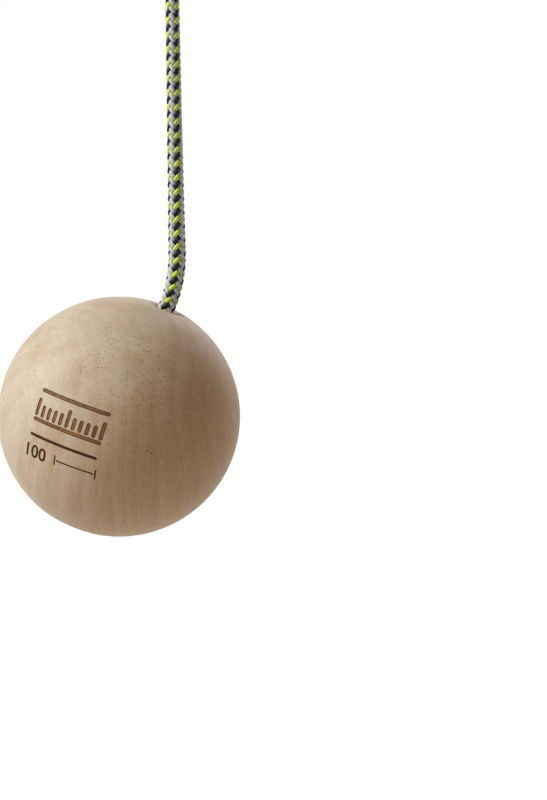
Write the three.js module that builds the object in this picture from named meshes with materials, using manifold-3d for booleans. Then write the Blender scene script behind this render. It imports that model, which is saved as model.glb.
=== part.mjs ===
// Wooden grip ball on a braided cord, with a sprung-gate carabiner at the cord's upper end.
// Millimetres, +Z up. The origin is inside the carabiner's top bow, where it hangs on its anchor.
// The ball is drawn leaning on its cord, as a hand that pulls from one side holds it.

import * as THREE from 'three';
import { mergeVertices } from 'three/addons/utils/BufferGeometryUtils.js';
import Module from 'manifold-3d';

const wasm = await Module();
wasm.setup();

// Ball
const ballDiameter = 100;
const boreDiameter = 9;
const mouthRound = 4;
const recessWallGap = 0.7;
const recessDepth = 38;
const recessRimRound = 1.5;
const ballLean = THREE.MathUtils.degToRad(24);

// Washer at the bottom of the ball's recess
const washerWallGap = 3;
const washerHole = 9;
const washerThickness = 2;

// Cord
const cordDiameter = 7;
const hangLength = 331;
const bendRadius = 54;
const strandGap = 0.55;
const climbGap = 0.6;
const seatGap = 0.3;
const endGap = 0.3;

// Knots
const knotTurns = 2;
const stopperTail = 9;
const stopperEntryAbove = 7;
const stopperEntryBelow = 4;
const stopperShiftShare = 0.32;
const sweepRiseShare = 0.4;
const loopKnotRise = 206;
const loopKnotLead = 2;
const loopTail = 20;
const loopTailLean = 3;
const loopBend = 11;
const loopPullShare = 0.4;

// Carabiner
const barDiameter = 8;
const insideLength = 64;
const insideWidth = 24;
const tongueThickness = 3;
const tongueWidth = 6.6;
const forkGap = 0.35;

// Gate hinge
const rivetAboveBow = 5.5;
const shoulderBelowRivet = 5;
const rivetDiameter = 3;
const rivetHeadDiameter = 4.4;
const rivetHeadHeight = 0.5;
const hingeLugHeight = 3.2;
const hingeLugCorner = 0.8;
const turningGap = 0.15;

// Gate latch
const noseGap = 0.9;
const latchPinBelowNose = 5.5;
const latchPinDiameter = 2;
const notchGap = 0.4;
const hookLip = 2.3;
const lipGap = 0.8;

// Spring and plunger inside the gate
const springBore = 4.6;
const plungerDiameter = 4.2;
const plungerLength = 5;
const springWire = 0.6;
const springDiameter = 4;
const springWebAboveBore = 2;
const springTurns = 7;

// Length that a cut runs past the face that it opens
const overrun = 1;

// Facets
const fullTurn = 2 * Math.PI;
const quarterTurn = Math.PI / 2;
const ballSegments = 60;
const ballArcSteps = 26;
const roundSegments = 24;
const smallSegments = 16;
const barSides = 16;
const bowSteps = 18;
const cordSides = 12;
const knotSides = 6;
const stepsPerWrap = 24;
const sweepSteps = 7;
const entrySteps = 6;
const bendSteps = 6;
const legSteps = 6;
const loopBowSteps = 12;
const springSides = 5;
const stepsPerCurl = 8;

// Sizes that follow from the ones above
const ballRadius = ballDiameter / 2;
const cordRadius = cordDiameter / 2;
const barRadius = barDiameter / 2;
const bowRadius = (insideWidth + barDiameter) / 2;
const topBowHeight = -insideWidth / 2;
const basketBowHeight = -(insideLength - insideWidth / 2);
const basketBarHeight = basketBowHeight - bowRadius;
const strandReach = cordDiameter + strandGap;
const tangentLength = bendRadius * Math.tan(ballLean / 2);
const leanArm = ballRadius + tangentLength;
const leanPivotHeight = -hangLength + leanArm * Math.cos(ballLean);
const ballCentre = new THREE.Vector3(-leanArm * Math.sin(ballLean), 0, -hangLength);
const recessFloor = -ballRadius + recessDepth;
const stopperShift = strandReach * stopperShiftShare;
const recessRadius = 1.5 * strandReach + stopperShift + cordRadius + recessWallGap;
const washerRadius = recessRadius - washerWallGap;
const washerUnderside = recessFloor - seatGap - washerThickness;

const finishes = {
  beech: { color: 0xcbb08c, roughness: 0.62, metalness: 0 },
  braid: { color: 0xa3a86b, roughness: 0.75, metalness: 0 },
  washer: { color: 0xb9bcc0, roughness: 0.35, metalness: 1 },
  alloy: { color: 0xc4c8cc, roughness: 0.32, metalness: 1 },
  steel: { color: 0xa8abb0, roughness: 0.28, metalness: 1 },
};

const part = new THREE.Group();

function addPiece(parent, name, geometry, finish) {
  const mesh = new THREE.Mesh(geometry, new THREE.MeshStandardMaterial(finishes[finish]));
  mesh.name = name;
  parent.add(mesh);
  return mesh;
}

// A closed geometry as a solid that can be joined and cut
function solidOf(geometry) {
  const bare = geometry.clone();
  bare.deleteAttribute('normal');
  bare.deleteAttribute('uv');
  const merged = mergeVertices(bare);
  return new wasm.Manifold(new wasm.Mesh({
    numProp: 3,
    vertProperties: new Float32Array(merged.attributes.position.array),
    triVerts: new Uint32Array(merged.index.array),
  }));
}

function geometryOf(solid) {
  const mesh = solid.getMesh();
  const geometry = new THREE.BufferGeometry();
  geometry.setAttribute('position', new THREE.BufferAttribute(mesh.vertProperties, 3));
  geometry.setIndex(new THREE.BufferAttribute(mesh.triVerts, 1));
  geometry.computeVertexNormals();
  return geometry;
}

// A regular section with its corners on the circle
function sectionOf(diameter, sides) {
  const corners = [];
  for (let i = 0; i < sides; i += 1) {
    const angle = (i * fullTurn) / sides;
    const radius = diameter / 2;
    corners.push(new THREE.Vector2(radius * Math.cos(angle), radius * Math.sin(angle)));
  }
  return new THREE.Shape(corners);
}

function tubeAlong(points, diameter, sides, steps) {
  const extrudePath = new THREE.CatmullRomCurve3(points, false, 'centripetal');
  return new THREE.ExtrudeGeometry(sectionOf(diameter, sides), { steps, extrudePath });
}

function arcPoints(centre, radius, from, to, steps) {
  const points = [];
  for (let i = 0; i <= steps; i += 1) {
    const angle = from + ((to - from) * i) / steps;
    const x = centre.x + radius * Math.cos(angle);
    const y = centre.y + radius * Math.sin(angle);
    points.push(new THREE.Vector2(x, y));
  }
  return points;
}

// A body of revolution about Z from a profile of radius and height
function turned(profile, segments) {
  return new THREE.LatheGeometry(profile, segments).rotateX(quarterTurn);
}

// A cylinder along Z whose middle is at the given place
function rodAlongZ(diameter, length, x, z, segments) {
  const rod = new THREE.CylinderGeometry(diameter / 2, diameter / 2, length, segments);
  return rod.rotateX(quarterTurn).translate(x, 0, z);
}

// A cylinder along Y, from one side of the piece to the other
function rodAlongY(diameter, length, x, z, segments) {
  const rod = new THREE.CylinderGeometry(diameter / 2, diameter / 2, length, segments);
  return rod.translate(x, 0, z);
}

// A plate standing in the XZ plane, with its thickness along Y
function plateOf(shape, thickness, x, z) {
  const plate = new THREE.ExtrudeGeometry(shape, { depth: thickness, bevelEnabled: false });
  return plate.rotateX(quarterTurn).translate(x, thickness / 2, z);
}

// The ball: a sphere with a rounded bore and a recess for the knot
function makeBall() {
  const boreRadius = boreDiameter / 2;
  const mouthReach = boreRadius + mouthRound;
  const mouthHeight = Math.sqrt((ballRadius - mouthRound) ** 2 - mouthReach ** 2);
  const mouthCentre = new THREE.Vector2(mouthReach, mouthHeight);
  const rimReach = recessRadius + recessRimRound;
  const rimHeight = -Math.sqrt((ballRadius - recessRimRound) ** 2 - rimReach ** 2);
  const rimCentre = new THREE.Vector2(rimReach, rimHeight);
  const mouthAngle = Math.atan2(mouthCentre.y, mouthCentre.x);
  const rimAngle = Math.atan2(rimCentre.y, rimCentre.x);
  const origin = new THREE.Vector2();
  const floorEdge = new THREE.Vector2(boreRadius, recessFloor);
  const profile = [
    floorEdge,
    new THREE.Vector2(recessRadius, recessFloor),
    ...arcPoints(rimCentre, recessRimRound, -Math.PI, rimAngle, 3),
    ...arcPoints(origin, ballRadius, rimAngle, mouthAngle, ballArcSteps).slice(1, -1),
    ...arcPoints(mouthCentre, mouthRound, mouthAngle, Math.PI, 4),
    floorEdge.clone(),
  ];
  return turned(profile, ballSegments);
}

function makeWasher() {
  const bottom = washerUnderside;
  const top = bottom + washerThickness;
  const profile = [
    new THREE.Vector2(washerHole / 2, bottom),
    new THREE.Vector2(washerRadius, bottom),
    new THREE.Vector2(washerRadius, top),
    new THREE.Vector2(washerHole / 2, top),
    new THREE.Vector2(washerHole / 2, bottom),
  ];
  return turned(profile, roundSegments);
}

// The outline that a wrap follows: one strand outside the strands of the knot's core.
// It starts at the middle of the side from the first strand to the second.
function wrapOutline(core) {
  const outline = new THREE.Path();
  const side = core[1].clone().sub(core[0]);
  const outward = new THREE.Vector2(side.y, -side.x).setLength(strandReach);
  const start = core[0].clone().add(core[1]).divideScalar(2).add(outward);
  outline.moveTo(start.x, start.y);
  for (let i = 1; i <= core.length; i += 1) {
    const corner = core[i % core.length];
    const arriving = corner.clone().sub(core[i - 1]).angle() - quarterTurn;
    const leaving = core[(i + 1) % core.length].clone().sub(corner).angle() - quarterTurn;
    const fromX = corner.x + strandReach * Math.cos(arriving);
    const fromY = corner.y + strandReach * Math.sin(arriving);
    outline.lineTo(fromX, fromY);
    outline.absarc(corner.x, corner.y, strandReach, arriving, leaving, false);
  }
  outline.lineTo(start.x, start.y);
  return outline;
}

// A barrel knot about the origin. The strand comes down the core at core[0], sweeps out below,
// winds up round the core, sweeps in above and goes down the core at core[1].
function barrelKnot(core, turns) {
  const outline = wrapOutline(core);
  const climb = cordDiameter + climbGap;
  const half = (turns * climb) / 2;
  const rise = strandReach * sweepRiseShare;
  const along = core[1].clone().sub(core[0]).normalize();
  const start = outline.getPointAt(0);
  const slope = climb / outline.getLength();
  const handle = new THREE.Vector3(along.x, along.y, slope).multiplyScalar(strandReach);
  const drop = new THREE.Vector3(0, 0, strandReach);
  const wrapStart = new THREE.Vector3(start.x, start.y, -half);
  const wrapEnd = new THREE.Vector3(start.x, start.y, half);
  const coreIn = new THREE.Vector3(core[0].x, core[0].y, rise - half);
  const coreOut = new THREE.Vector3(core[1].x, core[1].y, half - rise);
  const sweepOut = new THREE.CubicBezierCurve3(
    coreIn, coreIn.clone().sub(drop), wrapStart.clone().sub(handle), wrapStart);
  const sweepIn = new THREE.CubicBezierCurve3(
    wrapEnd, wrapEnd.clone().add(handle), coreOut.clone().add(drop), coreOut);
  const wraps = [];
  const steps = turns * stepsPerWrap;
  for (let i = 1; i < steps; i += 1) {
    const turn = i / stepsPerWrap;
    const place = outline.getPointAt(turn % 1);
    wraps.push(new THREE.Vector3(place.x, place.y, climb * turn - half));
  }
  return [...sweepOut.getPoints(sweepSteps), ...wraps, ...sweepIn.getPoints(sweepSteps)];
}

// The least clear distance between two stretches of one cord that aren't neighbours along it
function leastGap(points, diameter) {
  const curve = new THREE.CatmullRomCurve3(points, false, 'centripetal');
  const count = 600;
  const neighbourShare = 1.8;
  const spaced = curve.getSpacedPoints(count);
  const apart = Math.ceil((neighbourShare * diameter * count) / curve.getLength());
  let least = Infinity;
  for (let i = 0; i <= count; i += 1) {
    for (let j = i + apart; j <= count; j += 1) {
      least = Math.min(least, spaced[i].distanceTo(spaced[j]));
    }
  }
  return least - diameter;
}

// A strand and its knot as one tube, with its least gap to itself printed
function knotTube(name, points) {
  const gap = leastGap(points, cordDiameter);
  console.log(`${name}: least gap to itself ${gap.toFixed(2)} mm`);
  return tubeAlong(points, cordDiameter, knotSides, points.length + stepsPerWrap);
}

function heightsOf(points) {
  const heights = points.map((point) => point.z);
  return { top: Math.max(...heights) + cordRadius, bottom: Math.min(...heights) - cordRadius };
}

function moved(points, x, y, z) {
  const step = new THREE.Vector3(x, y, z);
  return points.map((point) => point.clone().add(step));
}

// The stopper knot under the washer: the cord comes down the bore and eases over to the core
function makeStopperKnot() {
  const core = [new THREE.Vector2(-strandReach / 2, 0), new THREE.Vector2(strandReach / 2, 0)];
  const knot = barrelKnot(core, knotTurns);
  const { top, bottom } = heightsOf(knot);
  const rise = washerUnderside - seatGap - top;
  const high = top + stopperEntryAbove - cordRadius;
  const low = top - stopperEntryBelow - cordRadius;
  const entry = [new THREE.Vector3(-stopperShift, 0, high + cordRadius)];
  for (let i = 0; i <= entrySteps; i += 1) {
    const share = i / entrySteps;
    const eased = share * share * (3 - 2 * share);
    const x = -stopperShift + (core[0].x + stopperShift) * eased;
    entry.push(new THREE.Vector3(x, 0, high + (low - high) * share));
  }
  const tail = [
    new THREE.Vector3(core[1].x, 0, 0),
    new THREE.Vector3(core[1].x, 0, bottom + cordRadius),
    new THREE.Vector3(core[1].x, 0, bottom - stopperTail),
  ];
  const points = moved([...entry, ...knot, ...tail], stopperShift, 0, rise);
  return { geometry: knotTube('stopper_knot', points), entryHeight: points[0].z };
}

// The bore's own stretch of cord, from the knot's entry to the bore's mouth
function makeBoreCord(entryHeight) {
  const points = [
    new THREE.Vector3(0, 0, entryHeight + endGap),
    new THREE.Vector3(0, 0, (entryHeight + ballRadius) / 2),
    new THREE.Vector3(0, 0, ballRadius - endGap),
  ];
  return tubeAlong(points, cordDiameter, cordSides, 4);
}

// The bend above the mouth, where the leaning bore's line turns into the plumb line
function makeCordBend() {
  const points = [];
  for (let i = 0; i <= bendSteps; i += 1) {
    const angle = ballLean * (1 - i / bendSteps);
    const x = bendRadius * (Math.cos(angle) - 1);
    const z = leanPivotHeight + tangentLength - bendRadius * Math.sin(angle);
    points.push(new THREE.Vector3(x, 0, z));
  }
  return tubeAlong(points, cordDiameter, cordSides, bendSteps);
}

// The loop knot round the standing cord, whose axis is the plumb line
const loopCore = [
  new THREE.Vector2(0, strandReach),
  new THREE.Vector2(-strandReach * Math.sin(fullTurn / 6), strandReach / 2),
  new THREE.Vector2(0, 0),
];
const loopKnot = barrelKnot(loopCore, knotTurns);
const loopKnotEnds = heightsOf(loopKnot);
const loopKnotShift = -hangLength + loopKnotRise - loopKnotEnds.bottom;
const loopFoot = loopKnotEnds.top + loopKnotLead + loopKnotShift;

function makeLoopKnot() {
  const [inward, outward] = loopCore;
  const lead = [
    new THREE.Vector3(inward.x, inward.y, loopKnotEnds.top + loopKnotLead - endGap),
    new THREE.Vector3(inward.x, inward.y, 0),
  ];
  const tail = [
    new THREE.Vector3(outward.x, outward.y, 0),
    new THREE.Vector3(outward.x, outward.y, loopKnotEnds.bottom + cordRadius),
    new THREE.Vector3(outward.x - loopTailLean / 4, outward.y, loopKnotEnds.bottom - loopTail / 2),
    new THREE.Vector3(outward.x - loopTailLean, outward.y, loopKnotEnds.bottom - loopTail),
  ];
  const points = moved([...lead, ...loopKnot, ...tail], 0, 0, loopKnotShift);
  const standing = Math.min(...points.map((point) => Math.hypot(point.x, point.y)));
  console.log(`loop_knot: gap to the standing cord ${(standing - cordDiameter).toFixed(2)} mm`);
  return knotTube('loop_knot', points);
}

// The straight cord from the bend up through the loop knot
function makeStandingCord() {
  const foot = leanPivotHeight + tangentLength + endGap;
  const points = [
    new THREE.Vector3(0, 0, foot),
    new THREE.Vector3(0, 0, (foot + loopFoot) / 2),
    new THREE.Vector3(0, 0, loopFoot),
  ];
  return tubeAlong(points, cordDiameter, cordSides, 8);
}

// The loop over the carabiner's basket, from the standing cord back to the knot
function makeCordLoop() {
  const apex = basketBarHeight + barRadius + seatGap + cordRadius;
  const centre = new THREE.Vector2(0, apex - loopBend);
  const straight = new THREE.Vector3(0, 0, cordDiameter);
  const pull = new THREE.Vector3(0, 0, (centre.y - loopFoot - cordDiameter) * loopPullShare);
  const foot = new THREE.Vector3(0, 0, loopFoot + endGap);
  const near = new THREE.Vector3(0, -loopBend, centre.y);
  const far = new THREE.Vector3(0, loopBend, centre.y);
  const end = new THREE.Vector3(0, strandReach, loopFoot);
  const leaving = foot.clone().add(straight);
  const arriving = end.clone().add(straight);
  const rising = new THREE.CubicBezierCurve3(
    leaving, leaving.clone().add(pull), near.clone().sub(pull), near);
  const falling = new THREE.CubicBezierCurve3(
    far, far.clone().sub(pull), arriving.clone().add(pull), arriving);
  const bow = arcPoints(centre, loopBend, Math.PI, 0, loopBowSteps).slice(1, -1);
  const over = bow.map((point) => new THREE.Vector3(0, point.x, point.y));
  const points = [foot, ...rising.getPoints(legSteps), ...over, ...falling.getPoints(legSteps), end];
  console.log(`cord_loop: least gap to itself ${leastGap(points, cordDiameter).toFixed(2)} mm`);
  return tubeAlong(points, cordDiameter, cordSides, 30);
}

// Heights along the gate side of the carabiner
const rivetHeight = basketBowHeight + rivetAboveBow;
const shoulderHeight = rivetHeight - shoulderBelowRivet;
const gateTop = topBowHeight - noseGap;
const latchPinHeight = topBowHeight - latchPinBelowNose;
const tongueEnd = latchPinHeight - latchPinDiameter / 2 - notchGap - hookLip;
const latchSlotFloor = tongueEnd - lipGap;
const lugTop = rivetHeight + hingeLugHeight;
const lugReach = Math.hypot(tongueWidth / 2 - hingeLugCorner, hingeLugHeight);
const hingeSlotTop = rivetHeight + lugReach + forkGap;
const boreTop = latchSlotFloor - springWebAboveBore;
const forkWidth = tongueThickness + 2 * forkGap;

// The lug on the body that the gate's fork straddles, flat on top where the plunger presses
function hingeLugShape() {
  const half = tongueWidth / 2;
  const foot = shoulderHeight - rivetHeight - overrun;
  const lug = new THREE.Shape();
  lug.moveTo(-half, foot);
  lug.lineTo(half, foot);
  lug.lineTo(half, hingeLugHeight - hingeLugCorner);
  lug.absarc(half - hingeLugCorner, hingeLugHeight - hingeLugCorner, hingeLugCorner, 0, quarterTurn);
  lug.lineTo(hingeLugCorner - half, hingeLugHeight);
  lug.absarc(hingeLugCorner - half, hingeLugHeight - hingeLugCorner, hingeLugCorner, quarterTurn, Math.PI);
  lug.lineTo(-half, foot);
  return lug;
}

// The nose's tongue with the notch that holds the latch pin, open towards the inside
function noseShape() {
  const half = tongueWidth / 2;
  const notch = latchPinDiameter / 2 + notchGap;
  const top = topBowHeight - latchPinHeight + overrun;
  const end = tongueEnd - latchPinHeight;
  const nose = new THREE.Shape();
  nose.moveTo(half, top);
  nose.lineTo(-half, top);
  nose.lineTo(-half, notch);
  nose.lineTo(0, notch);
  nose.absarc(0, 0, notch, quarterTurn, -quarterTurn, true);
  nose.lineTo(-half, -notch);
  nose.lineTo(-half, end);
  nose.lineTo(half, end);
  nose.lineTo(half, top);
  return nose;
}

function makeCarabinerBody() {
  const basket = new THREE.Vector2(0, basketBowHeight);
  const top = new THREE.Vector2(0, topBowHeight);
  const line = [
    new THREE.Vector2(bowRadius, shoulderHeight),
    ...arcPoints(basket, bowRadius, 0, -Math.PI, bowSteps),
    new THREE.Vector2(-bowRadius, (basketBowHeight + topBowHeight) / 2),
    ...arcPoints(top, bowRadius, Math.PI, 0, bowSteps),
  ];
  const points = line.map((point) => new THREE.Vector3(point.x, 0, point.y));
  const bar = solidOf(tubeAlong(points, barDiameter, barSides, 3 * bowSteps));
  const lug = solidOf(plateOf(hingeLugShape(), tongueThickness, bowRadius, rivetHeight));
  const nose = solidOf(plateOf(noseShape(), tongueThickness, bowRadius, latchPinHeight));
  const holeDiameter = rivetDiameter + 2 * turningGap;
  const hole = solidOf(rodAlongY(holeDiameter, barDiameter, bowRadius, rivetHeight, smallSegments));
  return geometryOf(bar.add(lug).add(nose).subtract(hole));
}

// The gate: a round bar forked at both ends and bored for its spring
function makeGate() {
  const radius = barRadius;
  const side = new THREE.Shape();
  side.moveTo(radius, gateTop - rivetHeight);
  side.lineTo(-radius, gateTop - rivetHeight);
  side.lineTo(-radius, 0);
  side.absarc(0, 0, radius, Math.PI, fullTurn, false);
  side.lineTo(radius, gateTop - rivetHeight);
  const length = gateTop - rivetHeight + radius;
  const middle = (gateTop + rivetHeight - radius) / 2;
  const bar = solidOf(rodAlongZ(barDiameter, length + overrun, bowRadius, middle, roundSegments));
  const outline = solidOf(plateOf(side, barDiameter + overrun, bowRadius, rivetHeight));
  const hingeSlotFoot = rivetHeight - radius - overrun;
  const hingeSlotLength = hingeSlotTop - hingeSlotFoot;
  const hingeSlot = new THREE.BoxGeometry(barDiameter + overrun, forkWidth, hingeSlotLength);
  hingeSlot.translate(bowRadius, 0, hingeSlotFoot + hingeSlotLength / 2);
  const latchSlotLength = gateTop + overrun - latchSlotFloor;
  const latchSlot = new THREE.BoxGeometry(barDiameter + overrun, forkWidth, latchSlotLength);
  latchSlot.translate(bowRadius, 0, latchSlotFloor + latchSlotLength / 2);
  const boreFoot = lugTop;
  const boreMiddle = (boreTop + boreFoot) / 2;
  const bore = rodAlongZ(springBore, boreTop - boreFoot, bowRadius, boreMiddle, smallSegments);
  const rivetHole = rivetDiameter + 2 * turningGap;
  const pinHole = latchPinDiameter + 2 * turningGap;
  const across = barDiameter + overrun;
  const cuts = [
    hingeSlot,
    latchSlot,
    bore,
    rodAlongY(rivetHole, across, bowRadius, rivetHeight, smallSegments),
    rodAlongY(pinHole, across, bowRadius, latchPinHeight, smallSegments),
  ];
  return geometryOf(cuts.reduce((gate, cut) => gate.subtract(solidOf(cut)), bar.intersect(outline)));
}

// The rivet that the gate turns on, with a low head outside each cheek
function makeGateRivet() {
  const shank = rivetDiameter / 2;
  const head = rivetHeadDiameter / 2;
  const seat = barRadius + turningGap;
  const end = seat + rivetHeadHeight;
  const profile = [
    new THREE.Vector2(0, -end),
    new THREE.Vector2(shank, -end),
    new THREE.Vector2(head, -seat),
    new THREE.Vector2(shank, -seat),
    new THREE.Vector2(shank, seat),
    new THREE.Vector2(head, seat),
    new THREE.Vector2(shank, end),
    new THREE.Vector2(0, end),
  ];
  return new THREE.LatheGeometry(profile, smallSegments).translate(bowRadius, 0, rivetHeight);
}

function makeLatchPin() {
  const length = barDiameter - 2 * turningGap;
  return rodAlongY(latchPinDiameter, length, bowRadius, latchPinHeight, smallSegments);
}

// The plunger that the spring holds against the lug's flat top
function makePlunger() {
  const foot = lugTop + turningGap;
  return rodAlongZ(plungerDiameter, plungerLength, bowRadius, foot + plungerLength / 2, smallSegments);
}

function makeGateSpring() {
  const radius = (springDiameter - springWire) / 2;
  const foot = lugTop + turningGap + plungerLength + turningGap + springWire / 2;
  const top = boreTop - turningGap - springWire / 2;
  const steps = springTurns * stepsPerCurl;
  const points = [];
  for (let i = 0; i <= steps; i += 1) {
    const angle = (i * fullTurn) / stepsPerCurl;
    const x = bowRadius + radius * Math.cos(angle);
    points.push(new THREE.Vector3(x, radius * Math.sin(angle), foot + ((top - foot) * i) / steps));
  }
  console.log(`gate_spring: least gap to itself ${leastGap(points, springWire).toFixed(2)} mm`);
  return tubeAlong(points, springWire, springSides, steps);
}

const carabiner = new THREE.Group();
addPiece(carabiner, 'carabiner_body', makeCarabinerBody(), 'alloy');
addPiece(carabiner, 'carabiner_gate', makeGate(), 'alloy');
addPiece(carabiner, 'gate_rivet', makeGateRivet(), 'steel');
addPiece(carabiner, 'latch_pin', makeLatchPin(), 'steel');
addPiece(carabiner, 'gate_plunger', makePlunger(), 'steel');
addPiece(carabiner, 'gate_spring', makeGateSpring(), 'steel');
part.add(carabiner);

const line = new THREE.Group();
addPiece(line, 'cord_loop', makeCordLoop(), 'braid');
addPiece(line, 'loop_knot', makeLoopKnot(), 'braid');
addPiece(line, 'standing_cord', makeStandingCord(), 'braid');
addPiece(line, 'cord_bend', makeCordBend(), 'braid');
part.add(line);

const leaning = new THREE.Group();
leaning.position.copy(ballCentre);
leaning.rotation.y = ballLean;
const stopper = makeStopperKnot();
addPiece(leaning, 'bore_cord', makeBoreCord(stopper.entryHeight), 'braid');
addPiece(leaning, 'stopper_knot', stopper.geometry, 'braid');
addPiece(leaning, 'knot_washer', makeWasher(), 'washer');
addPiece(leaning, 'wooden_ball', makeBall(), 'beech');
part.add(leaning);

export default part;
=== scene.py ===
from math import atan2, cos, dist, hypot, pi, radians, sin, sqrt, tan

import bmesh
import bpy
from mathutils import Matrix, Vector


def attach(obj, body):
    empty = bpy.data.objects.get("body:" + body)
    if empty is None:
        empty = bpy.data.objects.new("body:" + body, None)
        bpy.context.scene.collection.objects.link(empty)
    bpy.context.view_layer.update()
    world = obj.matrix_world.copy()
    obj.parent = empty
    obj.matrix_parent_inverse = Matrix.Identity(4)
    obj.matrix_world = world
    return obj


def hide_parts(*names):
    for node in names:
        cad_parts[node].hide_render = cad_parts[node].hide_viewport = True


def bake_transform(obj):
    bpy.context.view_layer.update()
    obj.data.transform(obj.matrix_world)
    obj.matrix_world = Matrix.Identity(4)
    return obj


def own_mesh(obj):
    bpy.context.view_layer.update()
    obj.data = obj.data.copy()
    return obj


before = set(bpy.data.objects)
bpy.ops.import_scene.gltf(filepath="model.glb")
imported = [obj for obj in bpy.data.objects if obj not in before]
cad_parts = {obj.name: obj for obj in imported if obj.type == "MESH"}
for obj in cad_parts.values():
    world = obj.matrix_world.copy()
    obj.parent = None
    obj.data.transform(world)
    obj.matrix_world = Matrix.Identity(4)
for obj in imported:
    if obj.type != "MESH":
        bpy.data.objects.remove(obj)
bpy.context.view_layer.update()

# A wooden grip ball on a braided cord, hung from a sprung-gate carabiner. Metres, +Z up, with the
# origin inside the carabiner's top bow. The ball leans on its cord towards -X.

MM = 0.001
FULL_TURN = 2 * pi
QUARTER_TURN = pi / 2

# Ball, bore and recess
BALL_RADIUS = 50 * MM
BORE_RADIUS = 4.5 * MM
MOUTH_ROUND = 4 * MM
RECESS_DEPTH = 38 * MM
RECESS_WALL_GAP = 0.7 * MM
RECESS_RIM_ROUND = 1.5 * MM
RECESS_CORNER = 1 * MM
BALL_LEAN = radians(24)

# Washer
WASHER_WALL_GAP = 3 * MM
WASHER_HOLE_RADIUS = 4.5 * MM
WASHER_THICKNESS = 2 * MM
WASHER_EDGE = 0.35 * MM

# Cord and knots
CORD_DIAMETER = 7 * MM
HANG_LENGTH = 331 * MM
BEND_RADIUS = 54 * MM
STRAND_GAP = 0.55 * MM
CLIMB_GAP = 0.6 * MM
SEAT_GAP = 0.3 * MM
KNOT_TURNS = 2
STOPPER_TAIL = 9 * MM
STOPPER_ENTRY_ABOVE = 7 * MM
STOPPER_ENTRY_BELOW = 4 * MM
STOPPER_SHIFT_SHARE = 0.32
SWEEP_RISE_SHARE = 0.4
LOOP_KNOT_RISE = 206 * MM
LOOP_KNOT_LEAD = 2 * MM
LOOP_TAIL = 20 * MM
LOOP_TAIL_LEAN = 3 * MM
LOOP_BEND = 11 * MM
LOOP_PULL_SHARE = 0.4
CORD_JOIN_DEPTH = 20 * MM
CORD_JOIN_GAP = 0.3 * MM

# Carabiner
BAR_RADIUS = 4 * MM
INSIDE_LENGTH = 64 * MM
INSIDE_WIDTH = 24 * MM

# Places that follow from the sizes
CORD_RADIUS = CORD_DIAMETER / 2
STRAND_REACH = CORD_DIAMETER + STRAND_GAP
TANGENT = BEND_RADIUS * tan(BALL_LEAN / 2)
LEAN_ARM = BALL_RADIUS + TANGENT
LEAN_PIVOT_HEIGHT = LEAN_ARM * cos(BALL_LEAN) - HANG_LENGTH
BALL_CENTRE = Vector((-LEAN_ARM * sin(BALL_LEAN), 0, -HANG_LENGTH))
BALL_PLACE = Matrix.Translation(BALL_CENTRE) @ Matrix.Rotation(BALL_LEAN, 4, "Y")
BEND_TOP = Vector((0, 0, LEAN_PIVOT_HEIGHT + TANGENT))
STOPPER_SHIFT = STRAND_REACH * STOPPER_SHIFT_SHARE
RECESS_RADIUS = 1.5 * STRAND_REACH + STOPPER_SHIFT + CORD_RADIUS + RECESS_WALL_GAP
RECESS_FLOOR = RECESS_DEPTH - BALL_RADIUS
WASHER_RADIUS = RECESS_RADIUS - WASHER_WALL_GAP
WASHER_UNDERSIDE = RECESS_FLOOR - SEAT_GAP - WASHER_THICKNESS
BOW_RADIUS = INSIDE_WIDTH / 2 + BAR_RADIUS
TOP_BOW = -INSIDE_WIDTH / 2
BASKET_BOW = INSIDE_WIDTH / 2 - INSIDE_LENGTH
BASKET_BAR = BASKET_BOW - BOW_RADIUS


def linked(name, data):
    """A new object of the scene."""
    piece = bpy.data.objects.new(name, data)
    bpy.context.scene.collection.objects.link(piece)
    return piece


# Camera

PHOTO_HEIGHT_PX = 800
FOCAL_PX = 1163
SENSOR_MM = 36
NEAREST_SEEN = 0.01
CAMERA_PLACE = Vector((39.0 * MM, -478.7 * MM, -243.5 * MM))
CAMERA_PITCH = radians(-9.6)
CAMERA_ROLL = radians(-0.37)


def make_camera():
    lens = bpy.data.cameras.new("photo_camera")
    lens.sensor_width = SENSOR_MM
    lens.lens = FOCAL_PX / PHOTO_HEIGHT_PX * SENSOR_MM
    lens.clip_start = NEAREST_SEEN
    camera = linked("photo_camera", lens)
    pitch = Matrix.Rotation(QUARTER_TURN + CAMERA_PITCH, 4, "X")
    turn = pitch @ Matrix.Rotation(CAMERA_ROLL, 4, "Z")
    camera.matrix_world = Matrix.Translation(CAMERA_PLACE) @ turn
    bpy.context.scene.camera = camera


make_camera()


# Meshes

def piece_from(name, bm, matrix=Matrix()):
    """The bmesh as an object at the origin, with its faces outwards and its place in its mesh."""
    bmesh.ops.transform(bm, matrix=matrix, verts=bm.verts)
    bmesh.ops.recalc_face_normals(bm, faces=bm.faces)
    mesh = bpy.data.meshes.new(name)
    bm.to_mesh(mesh)
    bm.free()
    return linked(name, mesh)


def mesh_of(piece):
    """The piece's mesh as its modifiers or its curve make it."""
    graph = bpy.context.evaluated_depsgraph_get()
    return bpy.data.meshes.new_from_object(piece.evaluated_get(graph))


def settled(piece):
    """The piece with its modifiers made real."""
    mesh = mesh_of(piece)
    piece.modifiers.clear()
    piece.data = mesh
    return piece


def dressed(piece, material):
    piece.data.polygons.foreach_set("material_index", [0] * len(piece.data.polygons))
    piece.data.materials.clear()
    piece.data.materials.append(material)
    return piece


def smooth_faces(piece, sharp_degrees):
    piece.data.polygons.foreach_set("use_smooth", [True] * len(piece.data.polygons))
    piece.data.set_sharp_from_angle(angle=radians(sharp_degrees))
    return piece


def finished(piece, material, sharp_degrees=50):
    return dressed(smooth_faces(piece, sharp_degrees), material)


# Node trees, written as sums of fields

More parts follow.
